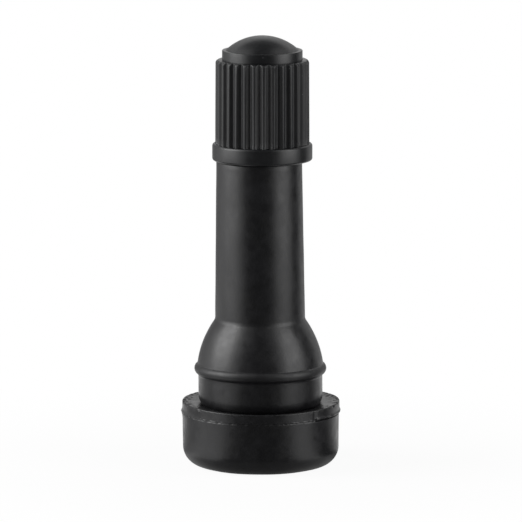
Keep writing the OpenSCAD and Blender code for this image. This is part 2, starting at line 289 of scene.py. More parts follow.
@dataclass(frozen=True)
class DustyPlastic(Finish):
    """Moulded plastic with a few pale specks of dust.

    Attributes:
        dust: colour of a speck, sRGB hex.
        dust_step_mm: spacing of the places where a speck can lie.
        dust_size: width of a speck as a share of that spacing.
        dust_share: share of the places that hold a speck.
    """

    dust: str = "#57585a"
    dust_step_mm: float = 0.8
    dust_size: float = 0.07
    dust_share: float = 0.2

    def tint(self, tree: Tree, coords: Socket) -> Socket:
        """Colour of the surface: the mottled plastic, and dust near the middle of a few random cells.

        Args:
            tree: the material's node tree.
            coords: object coordinates, in metres.

        Returns:
            The colour output.
        """
        sockets = {"Vector": coords, "Scale": 1 / (self.dust_step_mm * MM)}
        cells = put(tree, "ShaderNodeTexVoronoi", sockets).outputs
        near = calc(tree, "LESS_THAN", cells["Distance"], self.dust_size)
        pick = put(tree, "ShaderNodeSeparateColor", {"Color": cells["Color"]})
        held = calc(tree, "LESS_THAN", pick.outputs["Red"], self.dust_share)
        speck = calc(tree, "MULTIPLY", near, held)
        return blend(tree, speck, super().tint(tree, coords), linear(self.dust))


@dataclass(frozen=True)
class TurnedStock(Finish):
    """Stock from a lathe, with fine rings around the valve's axis."""

    def relief(self, tree: Tree, coords: Socket) -> Socket:
        """Height of the tool marks: noise along the axis and the radius only, so each mark runs around.

        Args:
            tree: the material's node tree.
            coords: object coordinates, in metres.

        Returns:
            The height output, from 0 to 1.
        """
        place = put(tree, "ShaderNodeSeparateXYZ", {"Vector": coords}).outputs
        flat = put(tree, "ShaderNodeCombineXYZ", {"X": place["X"], "Y": place["Y"]})
        radius = put(tree, "ShaderNodeVectorMath", {0: flat.outputs["Vector"]}, operation="LENGTH")
        section = put(tree, "ShaderNodeCombineXYZ", {"X": radius.outputs["Value"], "Y": place["Z"]})
        return noise(tree, section.outputs["Vector"], self.grain_mm, detail=3.0)


# Carbon-black EPDM, compression moulded: near black, satin, with a patchy bloom, faint swells and a fine matt
# grain, rougher on the bead
RUBBER = Finish(
    title="moulded_epdm_rubber",
    slot=Slot.RUBBER,
    colour="#0a0a0c",
    accent="#101013",
    roughness=(0.29, 0.44),
    ior=1.5,
    mottle_mm=2.2,
    grain_mm=0.17,
    grain_depth_mm=0.006,
    swell_mm=1.3,
    swell_depth_mm=0.012,
    zones=((11.15, 12.4, 0.1),),
)
# Black polypropylene, injection moulded: smoother than the rubber, with a duller grip
PLASTIC = DustyPlastic(
    title="moulded_polypropylene",
    slot=Slot.PLASTIC,
    colour="#0d0e10",
    accent="#131416",
    roughness=(0.3, 0.38),
    ior=1.49,
    mottle_mm=1.1,
    grain_mm=0.25,
    grain_depth_mm=0.0002,
    zones=((39.5, 49.55, 0.17),),
)
# Free-cutting brass, turned and lightly tarnished: warm yellow with fine rings from the tool
BRASS = TurnedStock(
    title="turned_brass",
    slot=Slot.BRASS,
    colour="#d0ad68",
    accent="#b48d4a",
    roughness=(0.22, 0.34),
    metallic=1.0,
    mottle_mm=2.5,
    grain_mm=0.07,
    grain_depth_mm=0.0015,
)
# The same brass on the small core pieces, brighter because air and hands never reach them
CORE_BRASS = TurnedStock(
    title="turned_core_brass",
    slot=Slot.CORE,
    colour="#dbbc7b",
    accent="#c6a25c",
    roughness=(0.18, 0.28),
    metallic=1.0,
    mottle_mm=1.2,
    grain_mm=0.05,
    grain_depth_mm=0.001,
)
# Nitrile rubber, moulded: matt and slightly brown beside the body's rubber
SEAL_RUBBER = Finish(
    title="moulded_nitrile_rubber",
    slot=Slot.SEAL,
    colour="#1d1b1a",
    accent="#292625",
    roughness=(0.5, 0.62),
    ior=1.52,
    mottle_mm=0.6,
    grain_mm=0.12,
    grain_depth_mm=0.004,
)
# PTFE, skived from rod: waxy white with faint knife lines
PTFE = TurnedStock(
    title="skived_ptfe",
    slot=Slot.PTFE,
    colour="#e6e3dc",
    accent="#d9d4ca",
    roughness=(0.42, 0.55),
    ior=1.35,
    mottle_mm=0.5,
    grain_mm=0.06,
    grain_depth_mm=0.001,
)
# Stainless spring wire, drawn: bright grey with a fine haze
STEEL = Finish(
    title="drawn_stainless_wire",
    slot=Slot.STEEL,
    colour="#b9bbbe",
    accent="#9fa2a6",
    roughness=(0.2, 0.32),
    metallic=1.0,
    mottle_mm=0.4,
    grain_mm=0.05,
    grain_depth_mm=0.0006,
)


@cache
def material_of(finish: Finish) -> bpy.types.Material:
    """The finish's material, made once."""
    return finish.build()


def span(node: str) -> Pair:
    """Lowest and highest height of a CAD node, in mm."""
    low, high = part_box(node)
    return low.z / MM, high.z / MM


def rows_of(outline: np.ndarray) -> tuple[np.ndarray, np.ndarray]:
    """Radius and height of an outline, each with a row for each point and one column."""
    return outline[:, :1], outline[:, 1:]


def arc(centre: Pair, radius: float, start: float, stop: float, steps: int = 10) -> np.ndarray:
    """Points of a round stretch: the centre plus radius times (cos a, sin a), with even angles a.

    Args:
        centre: radius and height of the arc's middle.
        radius: radius of the arc.
        start: first angle.
        stop: last angle.
        steps: number of equal steps.

    Returns:
        The stretch of outline.
    """
    angle = np.radians(np.linspace(start, stop, steps + 1))
    return np.array(centre) + radius * np.stack([np.cos(angle), np.sin(angle)], axis=1)


def soften(corners: np.ndarray, size: float, steps: int = 3) -> np.ndarray:
    """Rounds the corners of an outline that doesn't touch the axis.

    A corner p between two cut points a and b becomes the parabola (1-s)^2 a + 2 s (1-s) p + s^2 b. The cut
    points lie at the rounding's size from p, or at a set share of the side where that is shorter.

    Args:
        corners: closed outline.
        size: length that a rounding takes from each side.
        steps: number of steps along a rounding.

    Returns:
        The rounded outline.
    """

    def cut(towards: np.ndarray) -> np.ndarray:
        """Points on the sides to the given corners where the roundings end."""
        side = towards - corners
        return corners + side * np.minimum(size / np.linalg.norm(side, axis=1)[:, None], SIDE_SHARE)

    before = cut(np.roll(corners, 1, axis=0))[:, None]
    after = cut(np.roll(corners, -1, axis=0))[:, None]
    s = np.linspace(0, 1, steps + 1)[None, :, None]
    rounded = (1 - s) ** 2 * before + 2 * s * (1 - s) * corners[:, None] + s**2 * after
    return rounded.reshape(-1, 2)


def refine(outline: np.ndarray, spacing: float) -> np.ndarray:
    """Cuts each stretch of an open outline into equal parts no longer than the spacing.

    Args:
        outline: the outline.
        spacing: longest step.

    Returns:
        The outline with its extra rows.
    """
    step = np.diff(outline, axis=0)
    cuts = np.maximum(1, np.ceil(np.linalg.norm(step, axis=1) / spacing)).astype(int)
    side = np.repeat(np.arange(len(step)), cuts)
    share = (np.arange(len(side)) - np.repeat(np.cumsum(cuts) - cuts, cuts)) / cuts[side]
    return np.vstack([outline[side] + share[:, None] * step[side], outline[-1:]])


def ramp(value: np.ndarray, low: float, high: float) -> np.ndarray:
    """Smooth step: 3 t^2 - 2 t^3, with t from 0 at low to 1 at high."""
    t = np.clip((value - low) / (high - low), 0, 1)
    return t * t * (3 - 2 * t)


def bell(off: np.ndarray, width: float) -> np.ndarray:
    """Smooth bump: e to the power -(off / width)^2, which is 1 where off is 0."""
    return np.exp(-((off / width) ** 2))


def trapezoid(phase: np.ndarray, crest: float, root: float) -> np.ndarray:
    """Ridge that repeats with every whole phase: 1 on the crest, 0 on the root, straight flanks between.

    Args:
        phase: place across the ridges, 0 in the middle of a crest.
        crest: width of the crest as a share of the spacing.
        root: width of the root as a share of the spacing.

    Returns:
        Height from 0 to 1.
    """
    off = np.abs(phase - np.round(phase))
    return np.clip((0.5 - root / 2 - off) / (0.5 - root / 2 - crest / 2), 0, 1)


@dataclass(frozen=True)
class Ragged:
    """Random unevenness that closes around the axis.

    Attributes:
        level: its middle.
        layers: seed, strength, and fewest and most waves around, of each layer.
        least: its lower limit.
        most: its upper limit.
        length_mm: shortest wave along the outline.
        count: number of cosines in a layer.
    """

    level: float
    layers: tuple[tuple[int, float, int, int], ...]
    least: float = 0.0
    most: float = math.inf
    length_mm: float = math.inf
    count: int = 24

    def at(self, angle: np.ndarray, along: np.ndarray | float = 0.0) -> np.ndarray:
        """The level plus the layers, kept between the limits.

        A layer is its strength times the sum of cosines of (whole turns times angle + 2 pi along / length +
        phase), with seeded turns, lengths and phases, divided by the root of half their number.

        Args:
            angle: angle of each column, in radians.
            along: place of each row along the outline, or 0 where all rows are alike.

        Returns:
            A value for each column, or for each row and column.
        """
        total = self.level
        for seed, strength, fewest, most in self.layers:
            rng = np.random.default_rng(seed)
            around = rng.integers(fewest, most + 1, self.count)
            pace = TURN / self.length_mm * rng.uniform(-1, 1, self.count)
            phase = rng.uniform(0, TURN, self.count)
            across = np.asarray(along)[..., None] * pace + angle[:, None] * around + phase
            waves = np.cos(across).sum(axis=-1) / math.sqrt(self.count / 2)
            total = total + strength * waves
        return np.clip(total, self.least, self.most)


@dataclass
class Grid:
    """Points of a surface on rows and columns, in mm.

    Attributes:
        points: array of rows, columns and the three coordinates.
        ring: whether the last row joins the first, as on a closed section.
        around: whether the last column joins the first.
    """

    points: np.ndarray
    ring: bool = True
    around: bool = True

    def quads(self) -> np.ndarray:
        """Faces between neighbouring points, which look outwards where the rows run counter-clockwise.

        Returns:
            The four corner numbers of each face.
        """
        rows, columns = self.points.shape[:2]
        index = np.arange(rows * columns).reshape(rows, columns)
        index = np.vstack([index, index[:1]]) if self.ring else index
        index = np.hstack([index, index[:, :1]]) if self.around else index
        corners = [index[:-1, :-1], index[:-1, 1:], index[1:, 1:], index[1:, :-1]]
        return np.stack(corners, axis=-1).reshape(-1, 4)


def lathe(radius: np.ndarray, height: np.ndarray, angle: np.ndarray, ring: bool = True) -> Grid:
    """Surface around the axis: x = radius cos(angle), y = radius sin(angle), z = height.

    Args:
        radius: radius of each row, or of each row and column.
        height: height of each row, or of each row and column.
        angle: angle of each column, or of each row, in radians.
        ring: whether the outline closes on itself.

    Returns:
        The grid of points.
    """
    points = np.broadcast_arrays(radius * np.cos(angle), radius * np.sin(angle), height)
    return Grid(np.stack(points, axis=-1), ring)


def even(columns: int) -> np.ndarray:
    """Even angles around the axis, in radians."""
    return np.arange(columns) * TURN / columns


def mesh_of(name: str, *grids: Grid, weld: bool = True) -> bpy.types.Object:
    """Makes one object of one or more surfaces, with closed seams and poles.

    Args:
        name: name of the object.
        grids: the surfaces.
        weld: whether points that meet become one.

    Returns:
        The new object, at the origin.
    """
    sizes = [grid.points.shape[0] * grid.points.shape[1] for grid in grids]
    starts = np.cumsum([0, *sizes[:-1]])
    points = np.concatenate([grid.points.reshape(-1, 3) for grid in grids]) * MM
    quads = np.concatenate([grid.quads() + first for grid, first in zip(grids, starts)])
    mesh = bpy.data.meshes.new(name)
    mesh.from_pydata(points, [], quads)
    if weld:
        welded = bmesh.new()
        welded.from_mesh(mesh)
        bmesh.ops.remove_doubles(welded, verts=welded.verts, dist=WELD_MM * MM)
        welded.to_mesh(mesh)
        welded.free()
    mesh.shade_smooth()
    mesh.set_sharp_from_angle(angle=math.radians(CRISP_DEG))
    piece = bpy.data.objects.new(name, mesh)
    bpy.context.scene.collection.objects.link(piece)
    return piece


def ring_section(inner: float, outer: Pair, levels: Pair) -> list[Pair]:
    """Corners of a ring's section from its inner radius and its outer radii at the lower and upper level."""
    return [(inner, levels[0]), (outer[0], levels[0]), (outer[1], levels[1]), (inner, levels[1])]


def turned(name: str, corners: list[Pair], rounding: float, columns: int) -> bpy.types.Object:
    """Makes a turned ring from the corners of its section, counter-clockwise, with rounded edges."""
    return mesh_of(name, lathe(*rows_of(soften(np.array(corners), rounding)), even(columns)))


def fit(piece: bpy.types.Object, node: str, body: Body, finish: Finish) -> None:
    """Dresses a piece and puts it in the place of a CAD node.

    Args:
        piece: the new piece.
        node: the CAD node that it stands for.
        body: the body that it rides on.
        finish: its material.
    """
    piece.data.materials.append(material_of(finish))
    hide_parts(node)
    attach(piece, body.value)
    faces = len(piece.data.polygons)
    LOG.info("%s stands for %s on body %s: %d faces", piece.name, node, body.value, faces)


@dataclass(frozen=True)
class Thread:
    """Right-handed thread with a trapezoid section.

    Attributes:
        pitch: rise of one turn.
        depth: height of the ridges.
        crest: width of the crest as a share of the pitch.
        root: width of the root as a share of the pitch.
        shift: place along the pitch, as a share of it.
    """

    pitch: float
    depth: float
    crest: float = 0.125
    root: float = 0.25
    shift: float = 0.0

    def ridge(self, height: np.ndarray, angle: np.ndarray, low: float, high: float) -> np.ndarray:
        """Height of the ridges, which die away over one pitch at both ends.

        The phase is height / pitch - angle / 360 degrees, so a ridge climbs one pitch in each turn.

        Args:
            height: height of each row.
            angle: angle of each column, in radians.
            low: height where the thread starts.
            high: height where it ends.

        Returns:
            Array with a row for each height and a column for each angle.
        """
        phase = height / self.pitch - angle / TURN + self.shift
        ends = ramp(height, low, low + self.pitch) * (1 - ramp(height, high - self.pitch, high))
        return self.depth * trapezoid(phase, self.crest, self.root) * ends


@dataclass
class BrassStem:
    """Turned brass tube that the rubber is moulded on, with a thread outside for the cap and one inside."""

    columns: int = 160
    row_step: float = 0.075
    rounding: float = 0.06
    # Cylinder of the cap thread. The rubber covers some of it, and the thread starts above that
    thread_r: float = 3.85
    nose_chamfer: float = 0.5
    covered: float = 2.0
    thread_gap: float = 0.3
    cap_thread: Thread = Thread(pitch=INCH / 32, depth=0.43)
    # Shank in the rubber, with a flare over it, a wider foot and keying grooves
    flare: float = 1.2
    shank_r: float = 3.2
    foot_r: float = 4.1
    foot_h: float = 1.6
    keys: int = 5
    key_w: float = 1.6
    key_depth: float = 0.35
    # Bore for the core, with a cone that its gasket sits in
    bore_r: float = 2.0
    core_r: float = 2.65
    core_low: float = 42.0
    seat_top: float = 41.25
    seat_low: float = 39.85
    mouth_chamfer: float = 0.3
    core_thread: Thread = Thread(pitch=INCH / 36, depth=0.23, shift=0.5)

    def __post_init__(self) -> None:
        """Takes the ends of the brass and of its bare length from the frame."""
        self.low, self.top = span("brass_stem")
        self.rubber_top = span("rubber_body")[1]

    def in_rubber(self) -> np.ndarray:
        """Works out the stretch of brass that the rubber is moulded on, from the foot up.

        Returns:
            The outline.
        """
        shank_low = self.low + self.foot_h + self.foot_r - self.shank_r
        shank_high = self.rubber_top - self.covered - self.flare
        middles = np.linspace(shank_low, shank_high, self.keys + 2)[1:-1]
        half = self.key_w / 2
        floor = half - self.key_depth
        groove = np.array([(0, -half), (-self.key_depth, -floor), (-self.key_depth, floor), (0, half)])
        keys = np.stack(np.broadcast_arrays(self.shank_r, middles), axis=1)[:, None] + groove
        foot = [(self.foot_r, self.low), (self.foot_r, self.low + self.foot_h), (self.shank_r, shank_low)]
        neck = [
            (self.shank_r, shank_high),
            (self.thread_r, shank_high + self.flare),
            (self.thread_r, self.rubber_top),
        ]
        return np.vstack([foot, keys.reshape(-1, 2), neck])

    def build(self) -> bpy.types.Object:
        """Revolves the tube's section and cuts both threads.

        Outside, the radius is the smaller of the section's and the thread's: thread radius less the cut,
        which deepens over one pitch, plus the ridge. In the bore the ridge is taken off the radius.

        Returns:
            The stem.
        """
        core_bore_r = self.core_r - self.core_thread.depth
        bare_and_bore = [
            (self.thread_r, self.top - self.nose_chamfer),
            (self.thread_r - self.nose_chamfer, self.top),
            (self.core_r + self.mouth_chamfer, self.top),
            (self.core_r, self.top - self.mouth_chamfer),
            (self.core_r, self.core_low),
            (core_bore_r, self.core_low - self.core_thread.depth),
            (core_bore_r, self.seat_top),
            (self.bore_r, self.seat_low),
            (self.bore_r, self.low),
        ]
        outline = soften(np.vstack([self.in_rubber()[:-1], bare_and_bore]), self.rounding)
        bare = outline[:, 1] > self.rubber_top - self.covered
        first, last = np.flatnonzero(bare)[[0, -1]]
        fine = refine(outline[first : last + 1], self.row_step)
        radius, height = rows_of(np.vstack([outline[:first], fine, outline[last + 1 :]]))
        angle = even(self.columns)
        low, pitch = self.rubber_top + self.thread_gap, self.cap_thread.pitch
        cut = self.cap_thread.depth * ramp(height, low, low + pitch)
        outer = self.thread_r - cut + self.cap_thread.ridge(height, angle, low, self.top + pitch)
        inner = self.core_thread.ridge(height, angle, self.core_low, self.top - self.mouth_chamfer)
        outside = (radius > self.core_r + self.mouth_chamfer) & (height > self.rubber_top)
        in_bore = np.isclose(radius, self.core_r, atol=self.rounding / 2)
        shaped = radius - inner * in_bore
        shaped = np.where(outside, np.minimum(shaped, outer), shaped)
        return mesh_of("threaded_stem", lathe(shaped, height, angle))

    def dress(self, piece: bpy.types.Object) -> None:
        """Gives the stem its brass and its place."""
        fit(piece, "brass_stem", Body.VALVE, BRASS)


@dataclass
class Skin:
    """Outside of the rubber, on which the faults of the moulding are shaped.

    The share of the sides is sin^4 of the azimuth, and that of the front is cos^2 on the front half.

    Attributes:
        outline: the sound outline.
        angle: angle of each column, in radians.
    """

    outline: np.ndarray
    angle: np.ndarray

    def __post_init__(self) -> None:
        """Works out the rows' places and directions, and the columns' azimuths, sides and front."""
        self.radius, self.height = rows_of(self.outline)
        step = np.gradient(self.outline, axis=0)
        self.run, self.rise = rows_of(step / np.linalg.norm(step, axis=1, keepdims=True))
        self.azimuth = (np.degrees(self.angle) - FRONT_DEG + 180) % 360 - 180
        self.sides = np.sin(np.radians(self.azimuth)) ** 4
        self.front = np.clip(np.cos(np.radians(self.azimuth)), 0, 1) ** 2


@dataclass(frozen=True)
class MouldFaults:
    """Faults of the rubber's moulding."""

    # Depths inside the base's radius where the faults of its wall start and are full
    wall_in: Pair = (1.0, 0.2)
    # Torn flash on the seam: height, width and where it still stands
    flash_out: float = 0.055
    flash_w: float = 0.05
    flash: Ragged = Ragged(-0.15, ((11, 0.7, 9, 60), (12, 0.9, 90, 190)), most=1.5)
    # Wide ridge on the seam at both sides: height, width, the power that keeps it to the sides, and the share
    # that is missing on the band
    ridge_out: float = 0.14
    ridge_w: float = 0.3
    ridge_power: int = 3
    ridge_lost: float = 0.8
    # Band where the upper half of the mould stood out: azimuths where it starts, is full, begins to fade and
    # ends, how far it stood out, and the heights over the seam between which the wall steps
    band: tuple[float, float, float, float] = (44.0, 45.3, 120.0, 150.0)
    band_out: float = 0.08
    band_step: Pair = (-0.03, 0.02)
    # Lip of the band: height, width, height over the seam and unevenness
    lap_out: float = 0.13
    lap_w: float = 0.15
    lap_rise: float = 0.13
    lap: Ragged = Ragged(0.8, ((13, 0.2, 8, 40),))
    # Crack under the band: depth, width, distance under the seam, and what goes on beside the band
    crack_in: float = 0.2
    crack_w: float = 0.07
    crack_drop: float = 0.08
    crack_share: float = 0.25
    crack: Ragged = Ragged(0.5, ((14, 0.7, 30, 150),), most=1.6)
    # Split at the start of the band: depth, width in degrees and azimuth
    split_in: float = 0.05
    split_w: float = 1.2
    split_at: float = 43.5
    # Nibbles in the rim at both sides: depth, depths under the rim where they start and are full, and where
    # they are
    nibble_in: float = 0.13
    nibble_drop: Pair = (0.35, 0.05)
    nibbles: Ragged = Ragged(-0.7, ((21, 1.0, 20, 75),), most=1.2, length_mm=2.0)
    # Rows of the seat: steepest climb, and how far over the rim's height they may lie
    flat_rise: float = 0.5
    flat_over: float = 0.02
    # Pits in the seat at both sides: depth, depths inside the base's radius where they start and are full,
    # and where they are
    pit_in: float = 0.11
    pit_span: Pair = (1.2, 0.7)
    pits: Ragged = Ragged(-1.3, ((31, 2.0, 25, 70),), most=1.0, length_mm=0.6)
    # Raised edge of the seat at both sides: height, width and distance inside the base's radius
    brim_h: float = 0.09
    brim_w: float = 0.12
    brim_in: float = 0.16
    # The seat and its rim hang lower in front: by how much, from which height over the seam, in full at which
    # depth under the rim, and down to nothing at which height over it
    sag: float = 0.2
    sag_rise: float = 0.2
    sag_drop: float = 0.3
    sag_fade: float = 1.0
    # Soft lip around the sleeve: height, width, depth under the top, depth inside the sleeve's radius up to
    # which rows belong to it, and unevenness
    lip_out: float = 0.035
    lip_w: float = 0.13
    lip_drop: float = 0.3
    lip_in: float = 0.1
    lip: Ragged = Ragged(1.0, ((15, 0.3, 3, 20),))
    # Raised top of the sleeve: height, distances from the brass where it starts and is full, and depth under
    # the top up to which rows belong to it
    top_rise: float = 0.11
    top_span: Pair = (0.4, 0.9)
    top_drop: float = 0.2
    # Lumps of the skin: height, distance from the brass where they are full, height over the floor where they
    # start, and where they are
    lump_h: float = 0.006
    lump_span: float = 0.8
    lump_rise: float = 0.05
    lumps: Ragged = Ragged(0.0, ((41, 1.0, 2, 9),), least=-math.inf, length_mm=5.0)


@dataclass
class RubberBody:
    """Moulded rubber body with its base, groove, bead, bulb and sleeve, and the faults of its moulding."""

    stem: BrassStem
    faults: MouldFaults = MouldFaults()
    columns: int = 360
    row_step: float = 0.5
    # Base with its seam, which needs fine rows, and the seat, which sinks from the rim to the groove's foot
    base_r: float = 9.53
    base_h: float = 7.85
    draft: float = 0.04
    edge_r: float = 2.3
    rim_r: float = 0.09
    seam_drop: float = 1.3
    seam_margin: float = 0.3
    seam_rows: int = 48
    seat_rows: int = 24
    dish: float = 0.34
    # Groove. Its wall draws in towards its foot, on the foot's radius and through the foot's angle
    neck_r: float = 7.55
    neck_h: float = 4.0
    foot_r: float = 1.9
    foot_a: float = 36.0
    # Bead, bulb, the crease over it and the sleeve
    bead_out: float = 0.48
    bead_r: float = 0.7
    bead_fillet: float = 0.5
    bulb_out: float = 0.21
    bulb_sink: float = 1.0
    bulb_r: float = 12.0
    crease_r: float = 1.05
    sleeve_r: float = 5.2
    sleeve_taper: float = 0.26
    sleeve_edge_r: float = 0.15
    # Air passage
    air_r: float = 1.8
    air_chamfer: float = 0.5
    # The mould held the brass a little off the rubber's own axis: how far below and on top, and the distances
    # from the brass where that starts and is full
    lean_low: float = -0.17
    lean_high: float = -0.38
    lean_span: Pair = (0.35, 0.9)

    def __post_init__(self) -> None:
        """Takes the top of the rubber from the frame and works out the seam's height."""
        self.top = self.stem.rubber_top
        self.seam_z = self.base_h - self.seam_drop

    def outside(self) -> np.ndarray:
        """Works out the sound outside, from the mouth of the air passage to the brass.

        A fillet's arc touches the groove's wall and the bead's arc, which runs up to where it meets the
        bulb's: on the line between the two middles, plus the half chord across it. The crease's arc touches
        both the bulb and the sleeve.

        Returns:
            The outline.
        """
        bead = np.array([self.neck_r + self.bead_out - self.bead_r, self.base_h + self.neck_h])
        bulb = np.array([self.neck_r + self.bulb_out - self.bulb_r, bead[1] - self.bulb_sink])
        between = bead - bulb
        far = np.linalg.norm(between)
        along = (far**2 + self.bulb_r**2 - self.bead_r**2) / (2 * far)
        across = math.sqrt(self.bulb_r**2 - along**2)
        meet = bulb + (along * between + across * np.array([-between[1], between[0]])) / far
        fillet_in = self.neck_r + self.bead_fillet - bead[0]
        fillet_drop = math.sqrt((self.bead_r + self.bead_fillet) ** 2 - fillet_in**2)
        fillet = bead + np.array([fillet_in, -fillet_drop])
        bead_from = -math.degrees(math.atan2(fillet_drop, fillet_in))
        bead_to = math.degrees(math.atan2(*(meet - bead)[::-1]))
        bulb_from = math.degrees(math.atan2(*(meet - bulb)[::-1]))
        crease_x = self.sleeve_r + self.sleeve_taper + self.crease_r
        crease_rise = math.sqrt((self.bulb_r + self.crease_r) ** 2 - (crease_x - bulb[0]) ** 2)
        crease_a = math.degrees(math.atan2(crease_rise, crease_x - bulb[0]))
        edge_in = self.base_r - self.draft - self.edge_r
        rim = np.array([self.base_r - self.rim_r, self.base_h - self.rim_r])
        seam = np.linspace(self.seam_z - self.seam_margin, rim[1], self.seam_rows)[:-1]
        foot_a = math.radians(self.foot_a)
        seat_in = np.array([self.neck_r - self.foot_r * (1 - math.cos(foot_a)), self.base_h - self.dish])
        foot = seat_in - self.foot_r * np.array([math.cos(foot_a), -math.sin(foot_a)])
        sleeve_top = (self.sleeve_r - self.sleeve_edge_r, self.top - self.sleeve_edge_r)
        return np.vstack(
            [
                [(self.air_r + self.air_chamfer, 0)],
                arc((edge_in, self.edge_r), self.edge_r, -90, 0, steps=14),
                np.stack(np.broadcast_arrays(self.base_r, seam), axis=1),
                arc(rim, self.rim_r, 0, 90, steps=5),
                np.linspace((rim[0], self.base_h), seat_in, self.seat_rows)[1:-1],
                arc(foot, self.foot_r, -self.foot_a, 0, steps=8),
                arc(fillet, self.bead_fillet, 180, 180 + bead_from, steps=8),
                arc(bead, self.bead_r, bead_from, bead_to, steps=20),
                arc(bulb, self.bulb_r, bulb_from, crease_a, steps=36),
                arc((crease_x, bulb[1] + crease_rise), self.crease_r, 180 + crease_a, 180, steps=12),
                arc(sleeve_top, self.sleeve_edge_r, 0, 90, steps=8),
                [(self.stem.thread_r, self.top)],
            ]
        )

    def seam_push(self, skin: Skin) -> np.ndarray:
        """How far the seam's faults push the wall out.

        Flash, ridge, lap and crack are bells across the seam, the band is a step above it, and the split is a
        bell around the axis.

        Args:
            skin: the rubber's outside.

        Returns:
            Array of rows and columns.
        """
        f = self.faults
        over = skin.height - self.seam_z
        start, full, fade, end = f.band
        band = ramp(skin.azimuth, start, full) * (1 - ramp(skin.azimuth, fade, end))
        flash = f.flash_out * bell(over, f.flash_w) * f.flash.at(skin.angle)
        ridge = f.ridge_out * bell(over, f.ridge_w) * skin.sides**f.ridge_power * (1 - f.ridge_lost * band)
        lap = f.lap_out * bell(over - f.lap_rise, f.lap_w) * f.lap.at(skin.angle)
        torn = np.maximum(band, f.crack_share * f.crack.at(skin.angle))
        crack = f.crack_in * bell(over + f.crack_drop, f.crack_w) * torn
        split = f.split_in * bell(skin.azimuth - f.split_at, f.split_w)
        return flash + ridge - crack + ramp(over, *f.band_step) * (band * (f.band_out + lap) - split)

    def push(self, skin: Skin) -> np.ndarray:
        """How far the faults push each point out: on the base's wall, in its rim and at the sleeve's lip.

        Args:
            skin: the rubber's outside.

        Returns:
            Array of rows and columns.
        """
        f = self.faults
        deep, shallow = (self.base_r - depth for depth in f.wall_in)
        wall = ramp(skin.radius, deep, shallow) * (skin.height > self.edge_r)
        low, high = (self.base_h - drop for drop in f.nibble_drop)
        rim = ramp(skin.height, low, high) * skin.sides
        nibbles = f.nibble_in * rim * f.nibbles.at(skin.angle, skin.height)
        lip = bell(skin.height - self.top + f.lip_drop, f.lip_w) * (skin.radius > self.sleeve_r - f.lip_in)
        return wall * (self.seam_push(skin) - nibbles) + f.lip_out * lip * f.lip.at(skin.angle)

    def lift(self, skin: Skin) -> np.ndarray:
        """How far the faults lift each point: pits and brim of the seat, the sag in front and the raised top.

        Args:
            skin: the rubber's outside.

        Returns:
            Array of rows and columns.
        """
        f = self.faults
        in_seat = (skin.height > self.seam_z) & (skin.height < self.base_h + f.flat_over)
        flat = in_seat & (np.abs(skin.rise) < f.flat_rise)
        deep, shallow = (self.base_r - depth for depth in f.pit_span)
        pits = f.pit_in * ramp(skin.radius, deep, shallow) * f.pits.at(skin.angle, skin.radius)
        brim = f.brim_h * bell(skin.radius - self.base_r + f.brim_in, f.brim_w)
        near, far = (self.stem.thread_r + away for away in f.top_span)
        raised = f.top_rise * ramp(skin.radius, near, far) * (skin.height > self.top - f.top_drop)
        level = ramp(skin.height, self.seam_z + f.sag_rise, self.base_h - f.sag_drop)
        level = level * (1 - ramp(skin.height, self.base_h, self.base_h + f.sag_fade))
        return flat * (brim - pits) * skin.sides + raised - f.sag * level * skin.front

    def build(self) -> bpy.types.Object:
        """Revolves the outline, shapes the moulding's faults on it and lines it with the brass.

        A point of the outside moves out and up by the faults, and by the lumps along the outline's normal. It
        then leans to the left, more with height. The lining keeps to the brass's own axis.

        Returns:
            The body.
        """
        f = self.faults
        skin = Skin(refine(self.outside(), self.row_step), even(self.columns))
        brass_r = self.stem.thread_r
        lumps = f.lump_h * f.lumps.at(skin.angle, skin.height)
        lumps *= ramp(skin.radius, brass_r, brass_r + f.lump_span) * (skin.height > f.lump_rise)
        radius = skin.radius + self.push(skin) + lumps * skin.rise
        height = skin.height + self.lift(skin) - lumps * skin.run
        near, far = (brass_r + away for away in self.lean_span)
        lean = self.lean_low + (self.lean_high - self.lean_low) * height / self.top
        lean *= ramp(radius, near, far)
        passage = [(self.air_r, self.stem.low), (self.air_r, self.air_chamfer)]
        lining = rows_of(np.vstack([self.stem.in_rubber()[-2::-1], passage]))
        lining_r, lining_z = (np.repeat(side, self.columns, axis=1) for side in lining)
        grid = lathe(np.vstack([radius, lining_r]), np.vstack([height, lining_z]), skin.angle)
        grid.points[: len(lean), :, 0] += lean
        return mesh_of("moulded_body", grid)

    def dress(self, piece: bpy.types.Object) -> None:
        """Gives the body its rubber and its place."""
        fit(piece, "rubber_body", Body.VALVE, RUBBER)


